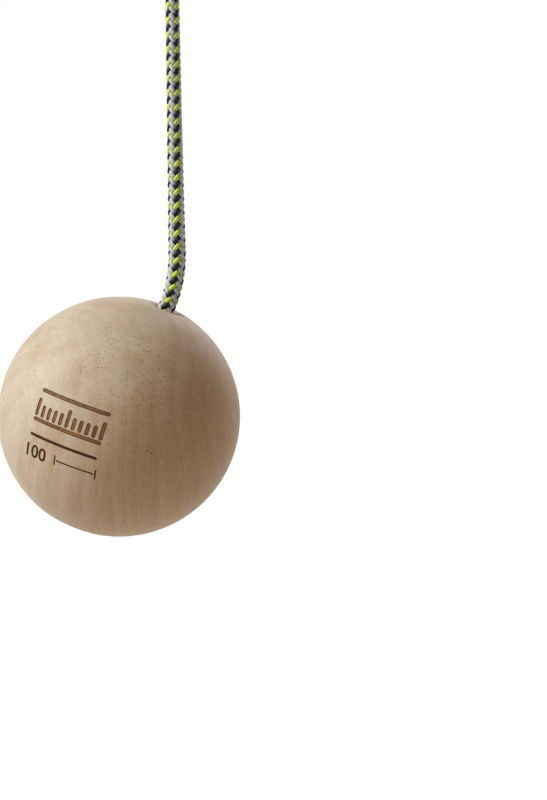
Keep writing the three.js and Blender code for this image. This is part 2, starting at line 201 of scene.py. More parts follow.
class Field:
    """An output of a node, which takes part in sums as a number does in Python."""

    def __init__(self, socket):
        self.socket = socket
        self.tree = socket.id_data

    def __add__(self, other):
        return maths("ADD", self, other)

    def __sub__(self, other):
        return maths("SUBTRACT", self, other)

    def __rsub__(self, other):
        return maths("SUBTRACT", other, self)

    def __mul__(self, other):
        return maths("MULTIPLY", self, other)

    def __truediv__(self, other):
        return maths("DIVIDE", self, other)

    def __rtruediv__(self, other):
        return maths("DIVIDE", other, self)

    def __mod__(self, other):
        return maths("MODULO", self, other)


def spaced(values):
    """The same values by their sockets' names, which have spaces."""
    return {name.replace("_", " "): value for name, value in values.items()}


def tree_of(values):
    return next(value.tree for value in values if isinstance(value, Field))


def place(tree, kind, values=None, **settings):
    """A new node with its settings, its sockets filled by name or number with values or fields."""
    new = tree.nodes.new(kind)
    for name, value in settings.items():
        setattr(new, name, value)
    for name, value in (values or {}).items():
        if isinstance(value, Field):
            tree.links.new(value.socket, new.inputs[name])
        else:
            new.inputs[name].default_value = value
    return new


def field(tree, kind, values=None, output=0, **settings):
    """One output of such a node."""
    return Field(place(tree, kind, values, **settings).outputs[output])


def fields_of(node):
    return {socket.name: Field(socket) for socket in node.outputs}


def maths(operation, *values):
    sockets = dict(enumerate(values))
    return field(tree_of(values), "ShaderNodeMath", sockets, operation=operation)


def vectors(operation, first, *second):
    """A sum with vectors; a length and a dot product give a number, and a scale takes one."""
    sockets = {0: first}
    for value in second:
        sockets[3 if operation == "SCALE" else 1] = value
    output = 1 if operation in ("LENGTH", "DOT_PRODUCT") else 0
    return field(first.tree, "ShaderNodeVectorMath", sockets, output, operation=operation)


SOCKET_KINDS = {int: "Int", float: "Float", tuple: "Vector"}


def new_tree(name, kind, **inputs):
    """A node group and its inputs; each is given by its default or, without one, by its kind."""
    tree = bpy.data.node_groups.new(name, kind)
    for label, given in spaced(inputs).items():
        socket_kind = given if isinstance(given, str) else SOCKET_KINDS[type(given)]
        socket = tree.interface.new_socket(
            label, in_out="INPUT", socket_type="NodeSocket" + socket_kind)
        if socket_kind != given:
            socket.default_value = given
    return tree, fields_of(tree.nodes.new("NodeGroupInput"))


def given_out(tree, kind, **fields):
    """The group with these fields as its outputs, all of one kind."""
    for label in fields:
        tree.interface.new_socket(label, in_out="OUTPUT", socket_type="NodeSocket" + kind)
    place(tree, "NodeGroupOutput", fields)
    return tree


def grown(piece, tree, **values):
    """The piece after its Geometry Nodes tree has run with these input values."""
    modifier = piece.modifiers.new(tree.name, "NODES")
    modifier.node_group = tree
    for item in tree.interface.items_tree:
        if item.name in values:
            modifier[item.identifier] = values[item.name]
    return settled(piece)


def ring(tree, sides, radius):
    sockets = {"Resolution": sides, "Radius": radius}
    return field(tree, "GeometryNodeCurvePrimitiveCircle", sockets, mode="RADIUS")


def swept(tree, curve, section, **more):
    sockets = {"Curve": curve, "Profile Curve": section, "Fill Caps": True, **more}
    return field(tree, "GeometryNodeCurveToMesh", sockets)


def smooth_mesh(tree, mesh):
    return field(tree, "GeometryNodeSetShadeSmooth", {"Geometry": mesh})


# The cord's routes

CORNER_STEPS = 12
WRAP_STEPS = 72
SWEEP_STEPS = 12
CURVE_STEPS = 24
CROWN_STEPS = 36
LEAST_STEP = 1e-9


def up(height):
    return Vector((0, 0, height))


def bezier(start, start_pull, end_pull, end, steps):
    points = []
    for i in range(steps + 1):
        t = i / steps
        near = (1 - t) ** 3 * start + 3 * (1 - t) ** 2 * t * start_pull
        far = 3 * (1 - t) * t ** 2 * end_pull + t ** 3 * end
        points.append(near + far)
    return points


def evenly(points, steps):
    """The same line with its points spaced evenly along it."""
    lengths = [0.0]
    for before, after in zip(points, points[1:]):
        lengths.append(lengths[-1] + (after - before).length)
    spaced_points = []
    k = 0
    for i in range(steps + 1):
        want = lengths[-1] * i / steps
        while k < len(points) - 2 and lengths[k + 1] < want:
            k += 1
        share = (want - lengths[k]) / max(lengths[k + 1] - lengths[k], LEAST_STEP)
        spaced_points.append(points[k].lerp(points[k + 1], min(max(share, 0), 1)))
    return spaced_points


def length_of(points):
    return sum((after - before).length for before, after in zip(points, points[1:]))


def wrap_outline(core, steps):
    """The outline one strand outside the core's strands, from the middle of its first side."""
    side = (core[1] - core[0]).normalized()
    corners = [(core[0] + core[1]) / 2 + Vector((side.y, -side.x, 0)) * STRAND_REACH]
    for i in range(1, len(core) + 1):
        corner = core[i % len(core)]
        before = corner - core[i - 1]
        after = core[(i + 1) % len(core)] - corner
        arriving = atan2(before.y, before.x) - QUARTER_TURN
        turn = (atan2(after.y, after.x) - atan2(before.y, before.x)) % FULL_TURN
        for k in range(CORNER_STEPS + 1):
            angle = arriving + turn * k / CORNER_STEPS
            corners.append(corner + STRAND_REACH * Vector((cos(angle), sin(angle), 0)))
    return evenly(corners + corners[:1], steps)


def barrel_knot(core):
    """A barrel knot about the origin: down at core[0], round and up, then down at core[1]."""
    outline = wrap_outline(core, WRAP_STEPS)
    climb = CORD_DIAMETER + CLIMB_GAP
    half = KNOT_TURNS * climb / 2
    rise = STRAND_REACH * SWEEP_RISE_SHARE
    along = (core[1] - core[0]).normalized()
    handle = (along + up(climb / length_of(outline))) * STRAND_REACH
    drop = up(STRAND_REACH)
    wrap_start, wrap_end = outline[0] - up(half), outline[0] + up(half)
    core_in, core_out = core[0] + up(rise - half), core[1] + up(half - rise)
    sweep_out = bezier(core_in, core_in - drop, wrap_start - handle, wrap_start, SWEEP_STEPS)
    sweep_in = bezier(wrap_end, wrap_end + handle, core_out + drop, core_out, SWEEP_STEPS)
    wraps = [outline[i % WRAP_STEPS] + up(climb * i / WRAP_STEPS - half)
             for i in range(1, KNOT_TURNS * WRAP_STEPS)]
    return sweep_out + wraps + sweep_in


def ends_of(points):
    heights = [point.z for point in points]
    return max(heights) + CORD_RADIUS, min(heights) - CORD_RADIUS


def stopper_route():
    """Down the bore from the hidden join, through the knot under the washer, to the tail's end."""
    core = [Vector((-STRAND_REACH / 2, 0, 0)), Vector((STRAND_REACH / 2, 0, 0))]
    knot = barrel_knot(core)
    top, bottom = ends_of(knot)
    rise = WASHER_UNDERSIDE - SEAT_GAP - top
    high = top + STOPPER_ENTRY_ABOVE - CORD_RADIUS
    low = top - STOPPER_ENTRY_BELOW - CORD_RADIUS
    join = BALL_RADIUS - CORD_JOIN_DEPTH - CORD_JOIN_GAP
    entry = [Vector((-STOPPER_SHIFT, 0, join - rise))]
    for i in range(CURVE_STEPS + 1):
        share = i / CURVE_STEPS
        x = -STOPPER_SHIFT + (core[0].x + STOPPER_SHIFT) * (share * share * (3 - 2 * share))
        entry.append(Vector((x, 0, high + (low - high) * share)))
    tail = [core[1], Vector((core[1].x, 0, bottom - STOPPER_TAIL))]
    route = [point + Vector((STOPPER_SHIFT, 0, rise)) for point in entry + knot + tail]
    return [BALL_PLACE @ point for point in route]


def main_route():
    """From inside the bore up through the bend, over the carabiner and through the loop knot."""
    bore = [BALL_PLACE @ up(BALL_RADIUS - CORD_JOIN_DEPTH)]
    bend = []
    for i in range(CURVE_STEPS + 1):
        angle = BALL_LEAN * (1 - i / CURVE_STEPS)
        x = BEND_RADIUS * (cos(angle) - 1)
        bend.append(Vector((x, 0, BEND_TOP.z - BEND_RADIUS * sin(angle))))
    core = [
        Vector((0, STRAND_REACH, 0)),
        Vector((-STRAND_REACH * sin(FULL_TURN / 6), STRAND_REACH / 2, 0)),
        Vector((0, 0, 0)),
    ]
    knot = barrel_knot(core)
    top, bottom = ends_of(knot)
    shift = LOOP_KNOT_RISE - HANG_LENGTH - bottom
    foot = up(top + LOOP_KNOT_LEAD + shift)
    crown = BASKET_BAR + BAR_RADIUS + SEAT_GAP + CORD_RADIUS - LOOP_BEND
    straight = up(CORD_DIAMETER)
    pull = up((crown - foot.z - CORD_DIAMETER) * LOOP_PULL_SHARE)
    near, far = Vector((0, -LOOP_BEND, crown)), Vector((0, LOOP_BEND, crown))
    leaving, arriving = foot + straight, foot + core[0] + straight
    rising = bezier(leaving, leaving + pull, near - pull, near, CURVE_STEPS)
    over = []
    for i in range(1, CROWN_STEPS):
        angle = pi * (1 - i / CROWN_STEPS)
        over.append(Vector((0, LOOP_BEND * cos(angle), crown + LOOP_BEND * sin(angle))))
    falling = bezier(far, far - pull, arriving + pull, arriving, CURVE_STEPS)
    tail = [
        core[1] + up(bottom + CORD_RADIUS),
        core[1] + Vector((-LOOP_TAIL_LEAN / 4, 0, bottom - LOOP_TAIL / 2)),
        core[1] + Vector((-LOOP_TAIL_LEAN, 0, bottom - LOOP_TAIL)),
    ]
    tied = [point + up(shift) for point in knot + tail]
    return bore + bend + [foot] + rising + over + falling + tied


# The braid: eight strands each way over a dark core, each going over two and under two

BRAID_STEP = 0.62 * MM
PATH_ROUNDS = 4
BRAID_LAY = 22.1 * MM
BRAID_TWIST = radians(47) / (97 * MM)
LIME_HEIGHT = -254.6 * MM
LIME_ANGLE = radians(6)
COLUMNS = 4
STRANDS_EACH_WAY = 8
STRAND_SIDES = 6
CORE_SIDES = 8
OVER_SHARPNESS = 1.4
CORE_YARN = 3.0


def make_braid_tree():
    tree, given = new_tree(
        "braided_cord", "GeometryNodeTree", Route="Geometry", Strands_each_way=STRANDS_EACH_WAY,
        Lay=BRAID_LAY, Twist=0.0, Start=0.0, Turn=0.0, Strand_width=1.95 * MM,
        Strand_thickness=1.2 * MM, Crossing_height=0.38 * MM, Core_depth=1.15 * MM)

    def stored(geometry, name, value):
        sockets = {"Geometry": geometry, "Name": name, "Value": value}
        return field(tree, "GeometryNodeStoreNamedAttribute", sockets,
                     data_type="FLOAT", domain="POINT")

    radius = field(tree, "GeometryNodeInputNamedAttribute", {"Name": "cord_radius"},
                   data_type="FLOAT")
    route = field(tree, "GeometryNodeMeshToCurve", {"Mesh": given["Route"]})
    tangent = field(tree, "GeometryNodeInputTangent")
    normal = field(tree, "GeometryNodeInputNormal")
    kept = tree.nodes.new("GeometryNodeCaptureAttribute")
    tree.links.new(route.socket, kept.inputs["Geometry"])
    for kind, label, value in (
        ("VECTOR", "Side", normal),
        ("VECTOR", "Across", vectors("CROSS_PRODUCT", tangent, normal)),
        ("FLOAT", "Run", field(tree, "GeometryNodeSplineParameter", output="Length")),
    ):
        kept.capture_items.new(kind, label)
        tree.links.new(value.socket, kept.inputs[label])
    geometry, side, across, run = (
        Field(kept.outputs[label]) for label in ("Geometry", "Side", "Across", "Run"))

    each_way = given["Strands each way"]
    copies = fields_of(place(tree, "GeometryNodeDuplicateElements", {
        "Geometry": geometry, "Amount": each_way * 2.0}, domain="SPLINE"))
    second_way = copies["Duplicate Index"] % 2.0
    way = 1.0 - second_way * 2.0
    strand = maths("FLOOR", copies["Duplicate Index"] / 2.0)

    helix = (run + given["Start"]) / given["Lay"]
    angle = (helix * way + strand / each_way) * FULL_TURN
    # Four columns of each way stand round the cord, and a crossing is a quarter of one
    column = angle - pi / (4 * COLUMNS)
    over = maths("TANH", maths("COSINE", column * float(COLUMNS)) * OVER_SHARPNESS) * way
    bearing = angle + (run * given["Twist"] + given["Turn"])
    outward = vectors("ADD", vectors("SCALE", side, maths("COSINE", bearing)),
                      vectors("SCALE", across, maths("SINE", bearing)))

    half_thick = given["Strand thickness"] * 0.5
    reach = radius - (half_thick + given["Crossing height"]) + over * given["Crossing height"]
    spot = vectors("ADD", field(tree, "GeometryNodeInputPosition"),
                   vectors("SCALE", outward, reach))
    strands = field(tree, "GeometryNodeSetPosition", {
        "Geometry": copies["Geometry"], "Position": spot})
    strands = field(tree, "GeometryNodeSetCurveNormal", {
        "Curve": strands, "Normal": outward}, mode="FREE")
    # Silver one way; lime and black by turns the other way
    strands = stored(strands, "yarn", (strand % 2.0 + 1.0) * (1.0 - second_way))
    strands = stored(strands, "run", run)
    strands = stored(strands, "over", over)

    share = field(tree, "GeometryNodeSplineParameter", output="Factor")
    section = stored(ring(tree, STRAND_SIDES, 1.0), "across", share)
    flat = field(tree, "ShaderNodeCombineXYZ", {
        "X": maths("COSINE", share * FULL_TURN) * (half_thick * -1.0),
        "Y": maths("SINE", share * FULL_TURN) * (given["Strand width"] * -0.5)})
    section = field(tree, "GeometryNodeSetPosition", {"Geometry": section, "Position": flat})
    strands = swept(tree, strands, section)
    core = swept(tree, stored(geometry, "yarn", CORE_YARN), ring(tree, CORE_SIDES, 1.0),
                 Scale=radius - given["Core depth"])
    joined = tree.nodes.new("GeometryNodeJoinGeometry")
    for mesh in (core, strands):
        tree.links.new(mesh.socket, joined.inputs["Geometry"])
    return given_out(tree, "Geometry", Cord=smooth_mesh(tree, Field(joined.outputs[0])))


def braid_path(route):
    """The route in short even steps, with its corners eased."""
    points = evenly(route, round(length_of(route) / BRAID_STEP))
    for _ in range(PATH_ROUNDS):
        inner = [(a + 2 * b + c) / 4 for a, b, c in zip(points, points[1:], points[2:])]
        points = [points[0]] + inner + [points[-1]]
    return points


def make_cord(name, points, radius_at, **values):
    """A braided cord along the points, whose radius is a function of each point."""
    mesh = bpy.data.meshes.new(name)
    mesh.from_pydata(points, [(i, i + 1) for i in range(len(points) - 1)], [])
    radii = mesh.attributes.new("cord_radius", "FLOAT", "POINT")
    radii.data.foreach_set("value", [radius_at(point) for point in points])
    return dressed(grown(linked(name, mesh), braid_tree, **values), yarn)


braid_tree = make_braid_tree()


# Shader parts

def colour(red, green, blue):
    """A colour as it is seen, from 0 to 255, as the linear values that a shader takes."""
    seen = [level / 255 for level in (red, green, blue)]
    return [c / 12.92 if c <= 0.04045 else ((c + 0.055) / 1.055) ** 2.4 for c in seen] + [1]


WHITE = (1, 1, 1, 1)


def mixed(share, first, second):
    sockets = {0: share, 6: first, 7: second}
    return field(share.tree, "ShaderNodeMix", sockets, 2, data_type="RGBA")


def painted(tone, *coats):
    """The tone under coats, each of which is a mask, its strength and its colour."""
    for mask, strength, coat in coats:
        tone = mixed(mask * strength, tone, coat)
    return tone


def eased(value, low, high, to_low=0.0, to_high=1.0):
    """The value moved smoothly from its low and high to two others."""
    sockets = {"Value": value, "From Min": low, "From Max": high,
               "To Min": to_low, "To Max": to_high}
    return field(value.tree, "ShaderNodeMapRange", sockets, interpolation_type="SMOOTHSTEP")


def noise(vector, scale, detail=3.0, roughness=0.5, distortion=0.0):
    return field(vector.tree, "ShaderNodeTexNoise", {
        "Vector": vector, "Scale": scale, "Detail": detail, "Roughness": roughness,
        "Distortion": distortion})


def stretched(vector, *shares):
    """The place with each axis scaled, so that spots draw out along the axes with small shares."""
    return vectors("MULTIPLY", vector, shares)


def bumped(height, depth):
    """The normal over a height from 0 to 1 whose full depth is in metres."""
    sockets = {"Height": height, "Distance": depth, "Strength": 1.0}
    return field(height.tree, "ShaderNodeBump", sockets)


def new_finish(name, **constant):
    """A material with one shader, the shader, and the place on the object that it is asked for."""
    material = bpy.data.materials.new(name)
    material.use_nodes = True
    tree = material.node_tree
    tree.nodes.clear()
    shader = place(tree, "ShaderNodeBsdfPrincipled", spaced(constant))
    place(tree, "ShaderNodeOutputMaterial", {"Surface": Field(shader.outputs[0])})
    return material, shader, field(tree, "ShaderNodeTexCoord", output="Object")


def wired(shader, **fields):
    for name, value in spaced(fields).items():
        value.tree.links.new(value.socket, shader.inputs[name])


def grouped(group, **values):
    """The outputs of a node group that is fed with these values."""
    tree = tree_of(values.values())
    return fields_of(place(tree, "ShaderNodeGroup", spaced(values), node_tree=group))


# Wood: the grain runs up towards the front, at an angle to the bore

# The way to the lower right side, which is painted tan and darker as painted shade
SHADE_SIDE_WAY = Vector((0.72, 0.05, -0.69))
GRAIN_WAY = Vector((0.10, -0.60, 0.79)).normalized()
PITH_OFFSET_MM = 70
OPEN_VEIN = Vector((0.16, -0.85, 0.50)).normalized()
OPEN_VEIN_REACH_MM = 25

CREAM, PALE, TAN = colour(223, 204, 178), colour(216, 193, 164), colour(204, 161, 112)
FIGURE_TONE, RING_TONE = colour(194, 153, 110), colour(182, 137, 92)
DARK_FIBRE, LIGHT_FIBRE = colour(164, 120, 78), colour(230, 211, 182)
FLECK_TONE, PORE_TONE = colour(152, 106, 66), colour(84, 48, 26)
BURNT_PORE = colour(52, 30, 18)


def make_grain_group():
    """A tan, darker side that is painted shade towards the lower right, eased in with the wood's
    slow figure, and rings, fibres, pores and flecks of a pale hardwood, as masks from 0 to 1.
    """
    tree, given = new_tree("beech_grain", "ShaderNodeTree", Place="Vector", Ring_width=6.5,
                           Pore_share=0.7)
    turn = GRAIN_WAY.to_track_quat("Z", "Y").to_euler()
    vein = turn.to_matrix().inverted() @ (OPEN_VEIN * BALL_RADIUS / MM)
    # Millimetres from the ball's middle, with the grain along Z
    grain = field(tree, "ShaderNodeMapping", {
        "Vector": given["Place"], "Location": BALL_CENTRE, "Rotation": turn,
        "Scale": (MM, MM, MM)}, vector_type="TEXTURE")

    def along(share):
        return stretched(grain, 1.0, 1.0, share)

    def dashes(scale, length, reach, share):
        """Dark spindles along the grain: how far apart, how long for their width, how many."""
        cells = fields_of(place(tree, "ShaderNodeTexVoronoi", {
            "Vector": along(1 / length), "Scale": scale, "Randomness": 1.0}))
        chance = field(tree, "ShaderNodeSeparateColor", {0: cells["Color"]})
        return eased(cells["Distance"], reach, reach * 0.4) * maths("LESS_THAN", chance, share)

    warp = noise(along(0.3), 0.02, 2.0)
    from_pith = vectors("ADD", grain, (PITH_OFFSET_MM, PITH_OFFSET_MM / 3, 0.0))
    radius = vectors("LENGTH", stretched(from_pith, 1.0, 1.0, 0.0))
    within = maths("FRACT", radius / given["Ring width"] + warp * 5.0)
    rings = eased(within, 0.1, 0.95) * eased(within, 1.0, 0.93)
    figure = noise(along(0.22), 0.085, 4.0, 0.55, 0.3)
    # Painted shade: the lower right side turns tan and darker, mixed with the wood's slow figure
    from_centre = vectors("SUBTRACT", given["Place"], BALL_CENTRE)
    toward_shade_side = vectors("DOT_PRODUCT", from_centre, SHADE_SIDE_WAY / BALL_RADIUS)
    tan_and_shade = eased(figure * 0.7 + toward_shade_side, -0.25, 0.85)
    fibres = noise(along(0.05), 0.8, 3.0, 0.6) * 0.7 + noise(along(0.06), 4.6, 2.0, 0.6) * 0.3

    # Open pores gather in one vein with a ragged edge
    from_vein = vectors("SUBTRACT", grain, vein)
    ragged = noise(grain, 0.09, 2.0) * 24.0 - 12.0
    patch = eased(vectors("LENGTH", stretched(from_vein, 1.0, 1.0, 0.0)) + ragged,
                  OPEN_VEIN_REACH_MM, OPEN_VEIN_REACH_MM / 2)
    vessels = dashes(0.75, 3.0, 0.23, patch * given["Pore share"] + 0.03)
    fine = dashes(1.3, 9.0, 0.2, 0.35) * 0.3
    scars = dashes(0.06, 5.0, 0.03, 0.6)
    pores = maths("MAXIMUM", maths("MAXIMUM", vessels, fine), scars)
    flecks = dashes(0.8, 6.0, 0.22, patch * 0.35 + 0.08)
    height = (fibres * 0.35 - pores) * 0.7 + 0.7
    return given_out(tree, "Float", Heart=tan_and_shade, Rings=rings, Figure=figure, Fibres=fibres,
                     Pores=pores, Flecks=flecks, Height=height)


def make_beech():
    material, shader, spot = new_finish(
        "beech_wood", IOR=1.45, Specular_IOR_Level=0.5, Sheen_Weight=0.2, Sheen_Roughness=0.5)
    parts = grouped(grain_group, Place=spot)
    fibres, tan_and_shade = parts["Fibres"], parts["Heart"]
    slow = noise(spot, 26.0, 2.0, 0.5, 0.4)
    # The tan coat is painted shade on the lower right side, over the wood's figure; the rings show
    # more there too
    tone = painted(
        mixed(eased(slow, 0.35, 0.65), CREAM, PALE),
        (tan_and_shade, 1.0, TAN),
        (eased(parts["Figure"], 0.44, 0.68), 0.4, FIGURE_TONE),
        (parts["Rings"], eased(tan_and_shade, 0.0, 1.0, 0.12, 0.3), RING_TONE),
        (eased(fibres, 0.46, 0.68), 0.22, DARK_FIBRE),
        (eased(fibres, 0.48, 0.30), 0.22, LIGHT_FIBRE),
        (parts["Flecks"], 0.45, FLECK_TONE),
        (parts["Pores"], 0.9, PORE_TONE))
    wired(shader, Base_Color=tone, Roughness=fibres * 0.2 + 0.46,
          Normal=bumped(parts["Height"], 0.05 * MM))
    return material


def make_burnt(name, tone, deep, share):
    """Wood browned by an engraving beam, darker where the beam lingered."""
    material, shader, spot = new_finish(name, Specular_IOR_Level=0.2)
    parts = grouped(grain_group, Place=spot)
    lines = noise(spot, 2600.0, 2.0)
    both = noise(spot, 260.0, 2.0) * 0.6 + lines * 0.4
    tone = painted(tone, (eased(both, 0.38, 0.62), share, deep), (parts["Fibres"], 0.3, deep),
                   (parts["Pores"], 1.0, BURNT_PORE))
    height = lines * 0.5 + parts["Height"] * 0.5
    wired(shader, Base_Color=tone, Roughness=both * 0.2 + 0.66, Normal=bumped(height, 0.08 * MM))
    return material


# Cord yarns, each as it is in the braid's shade and where it is lit

SILVER = colour(88, 87, 94), colour(226, 226, 233)
LIME = colour(122, 142, 16), colour(232, 248, 88)
BLACK = colour(3, 3, 5), colour(19, 18, 23)
# The core's own dark colour, made near black so that the gaps between strands also read as painted
# shade
CORE_AND_GAP_SHADE = colour(16, 15, 18)
PLIES = 6


def make_yarn():
    material, shader, _ = new_finish("braided_yarn", Roughness=0.42, Sheen_Weight=0.04,
                                     Sheen_Roughness=0.4, Specular_IOR_Level=0.16)
    yarn, run, across, over = (
        field(material.node_tree, "ShaderNodeAttribute", output="Fac", attribute_name=name)
        for name in ("yarn", "run", "across", "over"))

    def only(number):
        return maths("LESS_THAN", maths("ABSOLUTE", yarn - float(number)), 0.5)

    # Filaments lie a little askew along each strand
    spot = field(material.node_tree, "ShaderNodeCombineXYZ", {
        "X": run * 120.0 + across * 26.0, "Y": run * 500.0, "Z": yarn * 3.7})
    plies = maths("ABSOLUTE", maths("SINE", across * (PLIES * pi)))
    height = noise(spot, 1.0, 3.0, 0.6) * 0.8 + plies * 0.2
    # Painted shade and highlight: each yarn goes from its shaded colour to its lit one along its
    # filaments, and is painted darker where a strand dips under its neighbours
    lit = eased(height, 0.15, 0.6, 0.4, 1.0) * eased(over, -0.5, 0.75)
    tone = painted(mixed(lit, *SILVER), (only(1), 1.0, mixed(lit, *LIME)),
                   (only(2), 1.0, mixed(lit, *BLACK)), (only(3), 1.0, CORE_AND_GAP_SHADE))
    wired(shader, Base_Color=tone, Normal=bumped(height, 0.06 * MM))
    return material


# Metals and the cord's melted ends

def make_wear_group():
    """Fine scratches and smudges of handled metal, as masks from 0 to 1."""
    tree, given = new_tree("handled_metal", "ShaderNodeTree", Place="Vector",
                           Scratch_scale=900.0, Smudge_scale=60.0)
    spot, scale = given["Place"], given["Scratch scale"]
    one = noise(stretched(spot, 1.0, 1.0, 0.06), scale, 2.0)
    other = noise(stretched(spot, 0.08, 0.5, 1.0), scale, 2.0)
    lines = maths("MAXIMUM", eased(one, 0.62, 0.70), eased(other, 0.66, 0.72))
    smudges = eased(noise(spot, given["Smudge scale"], 3.0), 0.35, 0.70)
    height = one * 0.4 + 0.6 - lines * 0.4
    return given_out(tree, "Float", Scratches=lines, Smudges=smudges, Height=height)


def make_metal(name, tone, worn, smooth, rough, scratch_scale):
    material, shader, spot = new_finish(name, Metallic=1.0)
    parts = grouped(wear_group, Place=spot, Scratch_scale=scratch_scale)
    tone = painted(tone, (parts["Scratches"], 0.5, worn), (parts["Smudges"], 0.3, worn))
    wired(shader, Base_Color=tone, Roughness=parts["Smudges"] * (rough - smooth) + smooth,
          Normal=bumped(parts["Height"], 0.01 * MM))
    return material


def make_melted():
    material, shader, spot = new_finish("melted_cord", Roughness=0.32, Specular_IOR_Level=0.5)
    swirl = noise(spot, 420.0, 3.0, 0.6, 0.6)
    tone = mixed(eased(swirl, 0.35, 0.65), colour(34, 32, 34), colour(96, 98, 70))
    wired(shader, Base_Color=tone, Normal=bumped(swirl, 0.12 * MM))
    return material


grain_group = make_grain_group()
wear_group = make_wear_group()
beech = make_beech()
burnt_field = make_burnt("burnt_field", colour(168, 118, 76), colour(122, 76, 44), 0.6)
burnt_line = make_burnt("burnt_line", colour(98, 58, 32), colour(64, 36, 20), 0.8)
yarn = make_yarn()
alloy = make_metal(
    "satin_alloy", colour(132, 135, 141), colour(160, 162, 166), 0.28, 0.44, 900.0)
stainless = make_metal(
    "stainless_steel", colour(176, 176, 179), colour(140, 140, 143), 0.16, 0.3, 1500.0)
zinc = make_metal(
    "zinc_plated_steel", colour(178, 183, 190), colour(148, 146, 140), 0.3, 0.48, 1200.0)
melted = make_melted()


# Solids

def skinned(rings, closed=False):
    """A skin over rings of points in order; a ring of one point closes it there."""
    bm = bmesh.new()
    loops = [[bm.verts.new(point) for point in ring_points] for ring_points in rings]
    segments = max(len(loop) for loop in loops)
    for low, high in zip(loops, loops[1:] + (loops[:1] if closed else [])):
        for i in range(segments):
            j = (i + 1) % segments
            around = (low[i % len(low)], low[j % len(low)],
                      high[j % len(high)], high[i % len(high)])
            corners = list(dict.fromkeys(around))
            if len(corners) > 2:
                bm.faces.new(corners)
    return bm


def turned(profile, segments, closed=False):
    """A body of revolution about Z from radius and height pairs; radius 0 closes on the axis."""
    rings = []
    for radius, height in profile:
        count = segments if radius > 0 else 1
        angles = [FULL_TURN * i / count for i in range(count)]
        rings.append([(radius * cos(a), radius * sin(a), height) for a in angles])
    return skinned(rings, closed)


def arc(centre, radius, start, end, steps):
    """Points on an arc in a plane, from the start angle to the end angle."""
    points = []
    for i in range(steps + 1):
        angle = start + (end - start) * i / steps
        points.append((centre[0] + radius * cos(angle), centre[1] + radius * sin(angle)))
    return points


EDGE_STEPS = 4


def rounded(centres, radius, quarter, steps=EDGE_STEPS):
    """Quarter circles about each centre in turn, anticlockwise from this quarter on."""
    points = []
    for i, centre in enumerate(centres):
        start = (i + quarter) * QUARTER_TURN
        points += arc(centre, radius, start, start + QUARTER_TURN, steps)
    return points


SAME_SPOT = 0.002 * MM


def worked(piece, operation, *tools):
    """The piece joined to each tool, cut by it or crossed with it; cuts take on its material."""
    for tool in tools:
        step = piece.modifiers.new(operation.lower(), "BOOLEAN")
        step.operation = operation
        step.solver = "EXACT"
        step.object = tool
        step.material_mode = "TRANSFER"
    settled(piece)
    for tool in tools:
        bpy.data.objects.remove(tool)
    return piece


def merged(piece):
    """The piece with vertices that share a place made one, as a cut leaves them."""
    bm = bmesh.new()
    bm.from_mesh(piece.data)
    bmesh.ops.remove_doubles(bm, verts=bm.verts, dist=SAME_SPOT)
    bmesh.ops.dissolve_degenerate(bm, edges=bm.edges, dist=SAME_SPOT)
    bm.to_mesh(piece.data)
    bm.free()
    return piece


# The ball and its burnt marks

BALL_SEGMENTS = 200
BALL_ARC_STEPS = 110
RECESS_STEPS = 4, 5, 8, 8    # in the floor, its corner, the wall and the rim
BORE_STEPS = 12, 10    # in the mouth and the wall
MARK_UP = Vector((0.318, 0.037, 0.947)).normalized()
MARK_AIM = Vector((-0.278, -0.951, 0.130))
MARK_MIDDLE = (MARK_AIM - MARK_UP * MARK_UP.dot(MARK_AIM)).normalized()
MARK_RIGHT = MARK_UP.cross(MARK_MIDDLE)
MARK_PROUD = 0.8 * MM
CAP_POINTS = 7
FIELD_DEPTH = 0.16 * MM
LINE_DEPTH = 0.32 * MM
LINE_WIDTH = 0.3 * MM
NUMBER_DEPTH = 0.26 * MM
NUMBER_HEIGHT = 5.2 * MM
NUMBER_BOLD = 0.02
NUMBER_CURVE_STEPS = 5
NUMBER_LEFT = -15.2 * MM
NUMBER_BASELINE = -18.6 * MM
SAME_NUMBER_SPOT = 0.001 * MM
RULER_HALF = 14 * MM
RULER_LOW = -3.4 * MM
RULER_HIGH = 8 * MM
RULER_SPACES = 10
TICK_LONG_EVERY = 5
TICK_LIFT = 2.6    # over the lower rule, in half widths of a stroke
TICK_SHORT = 3.4 * MM
TICK_LONG = 5.6 * MM
STROKE_HALF = 0.75 * MM
RULE_HEIGHT = -9.6 * MM
RULE_HALF = 0.6 * MM
SPAN_FROM = -1.6 * MM
SPAN_TO = 15 * MM
SPAN_HALF = 0.3 * MM
SPAN_TICK = 1.7 * MM


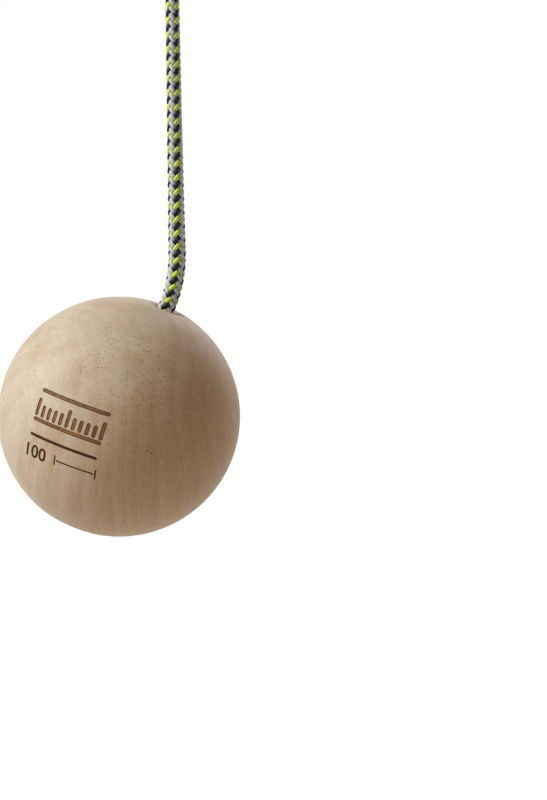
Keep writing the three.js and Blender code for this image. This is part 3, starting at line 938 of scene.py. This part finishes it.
def make_ball():
    reach = BORE_RADIUS + MOUTH_ROUND
    mouth = (reach, sqrt((BALL_RADIUS - MOUTH_ROUND) ** 2 - reach ** 2))
    rim_reach = RECESS_RADIUS + RECESS_RIM_ROUND
    rim = (rim_reach, -sqrt((BALL_RADIUS - RECESS_RIM_ROUND) ** 2 - rim_reach ** 2))
    corner = (RECESS_RADIUS - RECESS_CORNER, RECESS_FLOOR - RECESS_CORNER)
    mouth_angle, rim_angle = atan2(mouth[1], mouth[0]), atan2(rim[1], rim[0])
    across, round_corner, down, round_rim = RECESS_STEPS
    round_mouth, along = BORE_STEPS
    profile = (
        [(BORE_RADIUS + (corner[0] - BORE_RADIUS) * i / across, RECESS_FLOOR)
         for i in range(across)]
        + arc(corner, RECESS_CORNER, QUARTER_TURN, 0, round_corner)
        + [(RECESS_RADIUS, corner[1] + (rim[1] - corner[1]) * i / down) for i in range(1, down)]
        + arc(rim, RECESS_RIM_ROUND, -pi, rim_angle, round_rim)
        + arc((0, 0), BALL_RADIUS, rim_angle, mouth_angle, BALL_ARC_STEPS)[1:-1]
        + arc(mouth, MOUTH_ROUND, mouth_angle, pi, round_mouth)
        + [(BORE_RADIUS, mouth[1] + (RECESS_FLOOR - mouth[1]) * i / along)
           for i in range(1, along)]
    )
    return piece_from("grip_ball", turned(profile, BALL_SEGMENTS, closed=True), BALL_PLACE)


def on_skin(u, v, above):
    """A mark's point, u to the right and v up, set on the ball as a flat beam would set it."""
    out = sqrt(BALL_RADIUS ** 2 - u ** 2 - v ** 2)
    way = (MARK_RIGHT * u + MARK_UP * v + MARK_MIDDLE * out).normalized()
    return BALL_CENTRE + way * (BALL_RADIUS + above)


def stroke_outline(points, half):
    """The closed outline of a straight pen stroke with round ends along flat points."""
    (x, y), (to_x, to_y) = points[0], points[-1]
    angle = atan2(to_y - y, to_x - x)
    side_x, side_y = half * sin(angle), half * cos(angle)
    left = [(x - side_x, y + side_y) for x, y in points]
    right = [(x + side_x, y - side_y) for x, y in points]

    def cap(middle, start):
        return arc(middle, half, start, start + pi, CAP_POINTS + 1)[1:-1]

    return (right + cap(points[-1], angle - QUARTER_TURN) + left[::-1]
            + cap(points[0], angle + QUARTER_TURN))


def sink(bm, flat, faces, depth):
    """Adds a closed cutter that reaches this deep into the ball's skin under the flat faces."""
    top = [bm.verts.new(on_skin(u, v, MARK_PROUD)) for u, v in flat]
    bottom = [bm.verts.new(on_skin(u, v, -depth)) for u, v in flat]
    sides = set()
    for face in faces:
        bm.faces.new([top[i] for i in face])
        bm.faces.new([bottom[i] for i in reversed(face)])
        sides.update(zip(face, face[1:] + face[:1]))
    for a, b in sides:
        if (b, a) not in sides:
            bm.faces.new((top[a], bottom[a], bottom[b], top[b]))


def sink_stroke(bm, points, half, depth):
    """A stroke's whole width."""
    count = len(points)
    turn = 2 * count + CAP_POINTS - 1
    faces = [[i, i + 1, turn - i - 1, turn - i] for i in range(count - 1)]
    faces.append(list(range(count - 1, count + CAP_POINTS + 1)))
    faces.append(list(range(turn, turn + CAP_POINTS + 1)) + [0])
    sink(bm, stroke_outline(points, half), faces, depth)


def sink_edge(bm, points, half, width, depth):
    """Only a stroke's edge, as a closed band."""
    outer, inner = stroke_outline(points, half), stroke_outline(points, half - width)
    count = len(outer)
    faces = [[i, (i + 1) % count, count + (i + 1) % count, count + i] for i in range(count)]
    sink(bm, outer + inner, faces, depth)


def stroke(start, end):
    """Points a millimetre apart from one flat point to another."""
    steps = max(2, round(dist(start, end) / MM))
    (x, y), (to_x, to_y) = start, end
    shares = [i / steps for i in range(steps + 1)]
    return [(x + (to_x - x) * t, y + (to_y - y) * t) for t in shares]


def level_stroke(half, height):
    return stroke((-half, height), (half, height))


def ruler_strokes():
    """A plain ruler: two rules with ticks that stand on the lower one, clear of it."""
    strokes = [level_stroke(RULER_HALF, height) for height in (RULER_LOW, RULER_HIGH)]
    foot = RULER_LOW + TICK_LIFT * STROKE_HALF
    for i in range(RULER_SPACES + 1):
        u = RULER_HALF * (2 * i / RULER_SPACES - 1)
        tall = TICK_SHORT if i % TICK_LONG_EVERY else TICK_LONG
        strokes.append(stroke((u, foot), (u, foot + tall)))
    return strokes


def span_strokes():
    """A thin dimension line with a tick at each end, after the number."""
    middle = NUMBER_BASELINE + NUMBER_HEIGHT / 2
    ends = [stroke((u, middle - SPAN_TICK), (u, middle + SPAN_TICK)) for u in (SPAN_FROM, SPAN_TO)]
    gap = 3 * SPAN_HALF
    return ends + [stroke((SPAN_FROM + gap, middle), (SPAN_TO - gap, middle))]


def number_cutter(text):
    """Plain figures as a closed cutter through the ball's skin."""
    data = bpy.data.curves.new("size_number", "FONT")
    data.body = text
    data.offset = NUMBER_BOLD
    data.extrude = 1
    data.resolution_u = NUMBER_CURVE_STEPS
    lettering = linked("size_number", data)
    mesh = mesh_of(lettering)
    bpy.data.objects.remove(lettering)
    scale = NUMBER_HEIGHT / max(vertex.co.y for vertex in mesh.vertices)
    start = min(vertex.co.x for vertex in mesh.vertices)
    for vertex in mesh.vertices:
        x, y, z = vertex.co
        depth = MARK_PROUD if z > 0 else -NUMBER_DEPTH
        vertex.co = on_skin(NUMBER_LEFT + (x - start) * scale, NUMBER_BASELINE + y * scale, depth)
    bm = bmesh.new()
    bm.from_mesh(mesh)
    bmesh.ops.remove_doubles(bm, verts=bm.verts, dist=SAME_NUMBER_SPOT)
    return piece_from("number_cutter", bm)


def engraved(ball):
    """The ball with its plain marks burnt in: fields first, then their darker edges."""
    fields, lines = bmesh.new(), bmesh.new()
    for points in ruler_strokes():
        sink_stroke(fields, points, STROKE_HALF - LINE_WIDTH / 2, FIELD_DEPTH)
        sink_edge(lines, points, STROKE_HALF, LINE_WIDTH, LINE_DEPTH)
    for points in span_strokes():
        sink_stroke(lines, points, SPAN_HALF, NUMBER_DEPTH)
    sink_stroke(lines, level_stroke(RULER_HALF, RULE_HEIGHT), RULE_HALF, NUMBER_DEPTH)
    cutters = [
        dressed(piece_from("mark_fields", fields), burnt_field),
        dressed(piece_from("mark_lines", lines), burnt_line),
        dressed(number_cutter("100"), burnt_line),
    ]
    return merged(worked(ball, "DIFFERENCE", *cutters))


ball = smooth_faces(engraved(dressed(make_ball(), beech)), sharp_degrees=25)


# Cord, drawn thin where it hangs taut and free, and full in its bend and its knot

# Heights and radii in millimetres
CORD_RADII = [
    (-400, 3.62), (-285, 3.72), (-262, 3.72), (-243, 3.45), (-220, 3.36), (-203, 3.2),
    (-164, 3.02), (-150, 3.05), (-125, 3.35), (0, 3.35),
]
STOPPER_CORD_RADIUS = 3.45 * MM


def cord_radius_at(point):
    for (low, low_radius), (high, high_radius) in zip(CORD_RADII, CORD_RADII[1:]):
        if point.z <= high * MM:
            share = max(0, (point.z - low * MM) / (high * MM - low * MM))
            return (low_radius + (high_radius - low_radius) * share) * MM
    return CORD_RADII[-1][1] * MM


cord_path, inner_path = braid_path(main_route()), braid_path(stopper_route())
lime_run = length_of([point for point in cord_path if point.z <= LIME_HEIGHT])
cord = make_cord(
    "braided_cord", cord_path, cord_radius_at, Twist=BRAID_TWIST,
    Start=(BRAID_LAY / (4 * STRANDS_EACH_WAY) - lime_run) % (BRAID_LAY / COLUMNS),
    Turn=LIME_ANGLE - pi / (2 * STRANDS_EACH_WAY) - BRAID_TWIST * lime_run)
inner_cord = make_cord("stopper_cord", inner_path, lambda point: STOPPER_CORD_RADIUS)


# The cord's melted tails

# Shares of the seal's radius, and heights in millimetres
SEAL_PROFILE = [
    (0, -1.2), (0.93, -1.2), (1.03, -0.7), (1.06, 0), (0.98, 0.6), (0.72, 1.05), (0.35, 1.2),
    (0, 1.16),
]
SEAL_SIDES = 40
# Waves round the seal: how many, how high as a share of its radius, and where they start
SEAL_WAVES = [(3, 0.035, 1.1), (7, 0.02, 0)]
LOOP_SEAL_RADIUS = 3.3 * MM
STOPPER_SEAL_RADIUS = 3.4 * MM


def make_seal(name, path, radius):
    """The melted end that keeps a cut cord from fraying, over its last strands."""
    bm = turned([(radius * share, height * MM) for share, height in SEAL_PROFILE], SEAL_SIDES)
    for vertex in bm.verts:
        angle = atan2(vertex.co.y, vertex.co.x)
        swell = 1
        for count, share, start in SEAL_WAVES:
            swell += share * sin(count * angle + start)
        vertex.co.x *= swell
        vertex.co.y *= swell
    way = (path[-1] - path[-4]).normalized()
    spot = Matrix.Translation(path[-1]) @ way.to_track_quat("Z", "Y").to_matrix().to_4x4()
    return finished(piece_from(name, bm, spot), melted, sharp_degrees=60)


loop_seal = make_seal("loop_tail_end", cord_path, LOOP_SEAL_RADIUS)
stopper_seal = make_seal("stopper_tail_end", inner_path, STOPPER_SEAL_RADIUS)


# Washer

WASHER_SIDES = 96


def make_washer():
    inner, outer = WASHER_HOLE_RADIUS + WASHER_EDGE, WASHER_RADIUS - WASHER_EDGE
    low, high = WASHER_UNDERSIDE + WASHER_EDGE, WASHER_UNDERSIDE + WASHER_THICKNESS - WASHER_EDGE
    corners = [(outer, low), (outer, high), (inner, high), (inner, low)]
    bm = turned(rounded(corners, WASHER_EDGE, -1), WASHER_SIDES, closed=True)
    return finished(piece_from("stop_washer", bm, BALL_PLACE), zinc)


washer = make_washer()


# Carabiner

BAR_SIDES = 40
ROD_SIDES = 48
BOW_STEPS = 56
LEG_STEPS = 8
BAR_END_STEPS = 5
LUG_CORNER_STEPS = 6
NOTCH_STEPS = 12
GATE_FOOT_STEPS = 24
RIVET_HEAD_STEPS = 6
COIL_STEPS = 28
WIRE_SIDES = 12
BAR_END_ROUND = 0.8 * MM
TONGUE_THICKNESS = 3 * MM
TONGUE_WIDTH = 6.6 * MM
PLATE_EDGE = 0.35 * MM
FORK_GAP = 0.35 * MM
RIVET_ABOVE_BOW = 5.5 * MM
SHOULDER_BELOW_RIVET = 5 * MM
RIVET_RADIUS = 1.5 * MM
RIVET_HEAD_RADIUS = 2.2 * MM
RIVET_HEAD_HEIGHT = 0.5 * MM
LUG_HEIGHT = 3.2 * MM
LUG_CORNER = 0.8 * MM
TURNING_GAP = 0.15 * MM
NOSE_GAP = 0.9 * MM
LATCH_PIN_BELOW_NOSE = 5.5 * MM
LATCH_PIN_RADIUS = 1 * MM
LATCH_PIN_EDGE = 0.25 * MM
NOTCH_GAP = 0.4 * MM
HOOK_LIP = 2.3 * MM
LIP_GAP = 0.8 * MM
GATE_EDGE = 0.5 * MM
SPRING_BORE_RADIUS = 2.3 * MM
PLUNGER_RADIUS = 2.1 * MM
PLUNGER_LENGTH = 5 * MM
PLUNGER_EDGE = 0.3 * MM
PLUNGER_STROKE = 1.2 * MM
SPRING_WIRE_RADIUS = 0.3 * MM
SPRING_RADIUS = 2 * MM
SPRING_WEB = 2 * MM
SPRING_TURNS = 7.0
OVERRUN = 1 * MM
FLAT_WITHIN = 1e-7
ALLOY_SHARP_DEGREES = 35

RIVET_HEIGHT = BASKET_BOW + RIVET_ABOVE_BOW
SHOULDER_HEIGHT = RIVET_HEIGHT - SHOULDER_BELOW_RIVET
GATE_TOP = TOP_BOW - NOSE_GAP
LATCH_PIN_HEIGHT = TOP_BOW - LATCH_PIN_BELOW_NOSE
TONGUE_END = LATCH_PIN_HEIGHT - LATCH_PIN_RADIUS - NOTCH_GAP - HOOK_LIP
LATCH_SLOT_FLOOR = TONGUE_END - LIP_GAP
LUG_TOP = RIVET_HEIGHT + LUG_HEIGHT
LUG_REACH = hypot(TONGUE_WIDTH / 2 - LUG_CORNER, LUG_HEIGHT)
HINGE_SLOT_TOP = RIVET_HEIGHT + LUG_REACH + FORK_GAP
BORE_TOP = LATCH_SLOT_FLOOR - SPRING_WEB
FORK_WIDTH = TONGUE_THICKNESS + 2 * FORK_GAP
ALONG_GATE = Matrix.Translation((BOW_RADIUS, 0, 0))


def swept_bar(line, radius, end_round):
    """A round bar along points in the XZ plane, with both ends' edges rounded."""
    first = (line[0] - line[1]).normalized()
    last = (line[-1] - line[-2]).normalized()

    def end_rings(tip, way, facing):
        """Rings over an end's rounded edge, from its flat to the full radius."""
        turns = [QUARTER_TURN * i / BAR_END_STEPS for i in range(BAR_END_STEPS + 1)]
        return [(tip - way * end_round * (1 - cos(t)), radius - end_round * (1 - sin(t)),
                 facing) for t in turns]

    stations = end_rings(line[0], first, -first)
    clear = 1.1 * end_round
    for before, here, after in zip(line, line[1:], line[2:]):
        if (here - line[0]).length > clear and (here - line[-1]).length > clear:
            stations.append((here, radius, (after - before).normalized()))
    stations += end_rings(line[-1], last, last)[::-1]
    level = Vector((0, 1, 0))
    angles = [FULL_TURN * i / BAR_SIDES for i in range(BAR_SIDES)]
    bm = skinned([
        [spot + (way.cross(level) * cos(a) + level * sin(a)) * reach for a in angles]
        for spot, reach, way in stations])
    bm.verts.ensure_lookup_table()
    bm.faces.new(bm.verts[:BAR_SIDES])
    bm.faces.new(bm.verts[-BAR_SIDES:])
    return bm


def plate(name, outline, height, thickness, edge=0.0):
    """A plate across Y at the gate's side and this height, from an outline of x and z."""
    bm = bmesh.new()
    face = bm.faces.new([
        bm.verts.new((x + BOW_RADIUS, -thickness / 2, z + height)) for x, z in outline])
    far_side = bmesh.ops.extrude_face_region(bm, geom=[face])["geom"]
    moved = [item for item in far_side if isinstance(item, bmesh.types.BMVert)]
    bmesh.ops.translate(bm, vec=(0, thickness, 0), verts=moved)
    if edge:
        rims = [e for e in bm.edges if abs(e.verts[0].co.y - e.verts[1].co.y) < FLAT_WITHIN]
        bmesh.ops.bevel(bm, geom=rims, offset=edge, segments=2, profile=0.5, affect="EDGES")
    return piece_from(name, bm)


def rod(name, radius, low, high, matrix, edge=0.0):
    """A rod along Z, moved by a matrix, with rounded edges where an edge is given."""
    profile = [(radius, low), (radius, high)]
    if edge:
        profile = rounded([(radius - edge, low + edge), (radius - edge, high - edge)], edge, -1)
    return piece_from(name, turned([(0, low)] + profile + [(0, high)], ROD_SIDES), matrix)


def across_gate(height):
    """The place of a rod that lies along Y on the gate's side at a height."""
    return Matrix.Translation((BOW_RADIUS, 0, height)) @ Matrix.Rotation(QUARTER_TURN, 4, "X")


def make_carabiner_body():
    line = [(BOW_RADIUS, SHOULDER_HEIGHT)]
    line += arc((0, BASKET_BOW), BOW_RADIUS, 0, -pi, BOW_STEPS)
    line += [(-BOW_RADIUS, BASKET_BOW + (TOP_BOW - BASKET_BOW) * i / LEG_STEPS)
             for i in range(1, LEG_STEPS)]
    line += arc((0, TOP_BOW), BOW_RADIUS, pi, 0, BOW_STEPS)
    points = [Vector((x, 0, z)) for x, z in line]
    body = piece_from("carabiner_frame", swept_bar(points, BAR_RADIUS, BAR_END_ROUND))
    half = TONGUE_WIDTH / 2
    foot = SHOULDER_HEIGHT - RIVET_HEIGHT - OVERRUN
    top = LUG_HEIGHT - LUG_CORNER
    corners = [(half - LUG_CORNER, top), (LUG_CORNER - half, top)]
    lug = [(-half, foot), (half, foot)] + rounded(corners, LUG_CORNER, 0, LUG_CORNER_STEPS)
    notch = LATCH_PIN_RADIUS + NOTCH_GAP
    nose_top = TOP_BOW - LATCH_PIN_HEIGHT + OVERRUN
    nose_end = TONGUE_END - LATCH_PIN_HEIGHT
    nose = ([(half, nose_top), (-half, nose_top), (-half, notch)]
            + arc((0, 0), notch, QUARTER_TURN, -QUARTER_TURN, NOTCH_STEPS)
            + [(-half, -notch), (-half, nose_end), (half, nose_end)])
    worked(body, "UNION",
           plate("lug", lug, RIVET_HEIGHT, TONGUE_THICKNESS, PLATE_EDGE),
           plate("nose", nose, LATCH_PIN_HEIGHT, TONGUE_THICKNESS, PLATE_EDGE))
    hole = rod("hole", RIVET_RADIUS + TURNING_GAP, -BAR_RADIUS, BAR_RADIUS,
               across_gate(RIVET_HEIGHT))
    return finished(worked(body, "DIFFERENCE", hole), alloy, ALLOY_SHARP_DEGREES)


def make_gate():
    """A round bar forked at both ends, round about its rivet below and bored for its spring."""
    top = GATE_TOP - RIVET_HEIGHT
    side = (arc((0, 0), BAR_RADIUS, pi, FULL_TURN, GATE_FOOT_STEPS)
            + [(BAR_RADIUS, top), (-BAR_RADIUS, top)])
    bar = rod("carabiner_gate_bar", BAR_RADIUS, RIVET_HEIGHT - BAR_RADIUS - OVERRUN, GATE_TOP,
              ALONG_GATE, GATE_EDGE)
    merged(worked(bar, "INTERSECT", plate("side", side, RIVET_HEIGHT, 3 * BAR_RADIUS)))
    wide = BAR_RADIUS + OVERRUN

    def slot_box(low, high):
        corners = [(-wide, low), (wide, low), (wide, high), (-wide, high)]
        return plate("slot", corners, 0, FORK_WIDTH)

    def hole(radius, height):
        return rod("hole", radius + TURNING_GAP, -wide, wide, across_gate(height))

    worked(bar, "DIFFERENCE",
           slot_box(RIVET_HEIGHT - BAR_RADIUS - 2 * OVERRUN, HINGE_SLOT_TOP),
           slot_box(LATCH_SLOT_FLOOR, GATE_TOP + OVERRUN),
           rod("bore", SPRING_BORE_RADIUS, LUG_TOP, BORE_TOP, ALONG_GATE),
           hole(RIVET_RADIUS, RIVET_HEIGHT),
           hole(LATCH_PIN_RADIUS, LATCH_PIN_HEIGHT))
    return finished(merged(bar), alloy, ALLOY_SHARP_DEGREES)


def make_rivet():
    seat = BAR_RADIUS + TURNING_GAP
    head = [(RIVET_HEAD_RADIUS, seat)] + [
        (RIVET_HEAD_RADIUS * cos(a), seat + RIVET_HEAD_HEIGHT * sin(a))
        for a in (QUARTER_TURN * i / RIVET_HEAD_STEPS for i in range(1, RIVET_HEAD_STEPS))
    ] + [(0, seat + RIVET_HEAD_HEIGHT)]
    shank = [(RIVET_RADIUS, -seat), (RIVET_RADIUS, seat)]
    bm = turned([(x, -z) for x, z in head[::-1]] + shank + head, BAR_SIDES)
    rivet = piece_from("hinge_rivet", bm, across_gate(RIVET_HEIGHT))
    return finished(rivet, stainless, sharp_degrees=40)


def make_latch_pin():
    half = BAR_RADIUS - TURNING_GAP
    return finished(rod("latch_bar", LATCH_PIN_RADIUS, -half, half, across_gate(LATCH_PIN_HEIGHT),
                        LATCH_PIN_EDGE), stainless)


def make_plunger():
    foot = LUG_TOP + TURNING_GAP
    return finished(rod("spring_plunger", PLUNGER_RADIUS, foot, foot + PLUNGER_LENGTH, ALONG_GATE,
                        PLUNGER_EDGE), stainless)


SPRING_FOOT = LUG_TOP + 2 * TURNING_GAP + PLUNGER_LENGTH
SPRING_TOP = BORE_TOP - TURNING_GAP


def make_spring():
    """The gate's coil spring: a helix swept with its wire by a Geometry Nodes tree."""
    foot = SPRING_FOOT + SPRING_WIRE_RADIUS
    tree, given = new_tree(
        "coil_spring", "GeometryNodeTree", Geometry="Geometry", Turns=SPRING_TURNS,
        Radius=SPRING_RADIUS - SPRING_WIRE_RADIUS, Height=SPRING_TOP - SPRING_WIRE_RADIUS - foot,
        Foot=(BOW_RADIUS, 0, foot), Wire_radius=SPRING_WIRE_RADIUS)
    helix = field(tree, "GeometryNodeCurveSpiral", {
        "Resolution": COIL_STEPS, "Rotations": given["Turns"], "Start Radius": given["Radius"],
        "End Radius": given["Radius"], "Height": given["Height"]})
    helix = field(tree, "GeometryNodeTransform", {
        "Geometry": helix, "Translation": given["Foot"]})
    wire = swept(tree, helix, ring(tree, WIRE_SIDES, given["Wire radius"]))
    given_out(tree, "Geometry", Spring=smooth_mesh(tree, wire))
    spring = linked("coil_spring", bpy.data.meshes.new("coil_spring"))
    return dressed(grown(spring, tree), stainless)


carabiner_frame = make_carabiner_body()
carabiner_gate_bar = make_gate()
hinge_rivet = make_rivet()
latch_bar = make_latch_pin()
spring_plunger = make_plunger()
coil_spring = make_spring()


# Floor, backdrop and light

FLOOR_HEIGHT = -1.05
FLOOR_REACH = 12
FLOOR_GLOW = 0.91
FLOOR_LIT = 0.48
LIT_MIDDLE = (-0.3, 0.1, FLOOR_HEIGHT)
LIT_REACH = 1.6
LIT_FALL = 4.0
WORLD_LIGHT = 0.16
SHADE_TINT = (1, 0.88, 0.78, 1)
# Each lamp's place, width in metres, watts and tint
LAMPS = {
    "key": ((-1.35, -0.45, 0.75), 0.9, 30.5, (0.9, 0.97, 1.0)),
    "back": ((0.8, 1.4, 0.3), 1.0, 7.5, (1, 1, 1)),
    "front_fill": ((0.3, -1.6, 0.3), 1.2, 1.4, (1.0, 0.78, 0.58)),
}


def white_rays(tree):
    """1 for the rays that see the background, straight or in metal, and 0 for those that light."""
    path = fields_of(tree.nodes.new("ShaderNodeLightPath"))
    bent = maths("MAXIMUM", path["Is Glossy Ray"], path["Is Transmission Ray"])
    return maths("MAXIMUM", path["Is Camera Ray"], bent)


def make_floor():
    bm = bmesh.new()
    bmesh.ops.create_grid(bm, x_segments=1, y_segments=1, size=FLOOR_REACH)
    floor = piece_from("floor", bm, Matrix.Translation((0, 0, FLOOR_HEIGHT)))
    material, shader, spot = new_finish("pale_floor", Roughness=0.9, Specular_IOR_Level=0.1,
                                        Emission_Color=WHITE)
    tone = mixed(noise(spot, 8.0), colour(246, 246, 246), colour(250, 250, 250))
    # The glow makes up what the lamps leave short of white, so that a shadow can still show
    away = vectors("LENGTH", vectors("SUBTRACT", spot, LIT_MIDDLE))
    lit = FLOOR_LIT / (maths("POWER", away / LIT_REACH, LIT_FALL) + 1.0)
    wired(shader, Base_Color=tone, Emission_Strength=white_rays(spot.tree) * (FLOOR_GLOW - lit))
    dressed(floor, material)


def make_world():
    world = bpy.data.worlds.new("studio")
    bpy.context.scene.world = world
    world.use_nodes = True
    tree = world.node_tree
    tree.nodes.clear()
    seen = white_rays(tree)
    sky = field(tree, "ShaderNodeBackground", {
        "Color": mixed(seen, SHADE_TINT, WHITE),
        "Strength": seen * (1 - WORLD_LIGHT) + WORLD_LIGHT})
    place(tree, "ShaderNodeOutputWorld", {"Surface": sky})


def make_lamp(name, spot, width, watts, tint):
    data = bpy.data.lights.new(name, "AREA")
    data.shape = "RECTANGLE"
    data.size = data.size_y = width
    data.energy = watts
    data.color = tint
    spot = Vector(spot)
    aim = (spot - BALL_CENTRE).to_track_quat("Z", "Y").to_matrix().to_4x4()
    linked(name, data).matrix_world = Matrix.Translation(spot) @ aim


make_floor()
make_world()
for lamp, setting in LAMPS.items():
    make_lamp(lamp, *setting)
bpy.context.scene.view_settings.view_transform = "Standard"


# Bodies, slots and the CAD nodes that each piece stands for

for piece, slot, body, *nodes in (
    (ball, "beech", "ball", "wooden_ball"),
    (inner_cord, "braided_cord", "cord_end", "bore_cord", "stopper_knot"),
    (stopper_seal, "braided_cord", "cord_end"),
    (washer, "zinc_steel", "cord_end", "knot_washer"),
    (loop_seal, "braided_cord", "line"),
    (carabiner_frame, "alloy", "carabiner", "carabiner_body"),
    (hinge_rivet, "stainless_steel", "carabiner", "gate_rivet"),
    (carabiner_gate_bar, "alloy", "gate", "carabiner_gate"),
    (latch_bar, "stainless_steel", "gate", "latch_pin"),
    (coil_spring, "stainless_steel", "gate", "gate_spring"),
    (spring_plunger, "stainless_steel", "plunger", "gate_plunger"),
):
    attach(piece, body)
    if nodes:
        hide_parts(*nodes)

1 - PLUNGER_STROKE / (SPRING_TOP - SPRING_FOOT)
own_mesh(coil_spring)
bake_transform(cord)
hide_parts("cord_bend", "standing_cord", "loop_knot", "cord_loop")
length_of(cord_path)
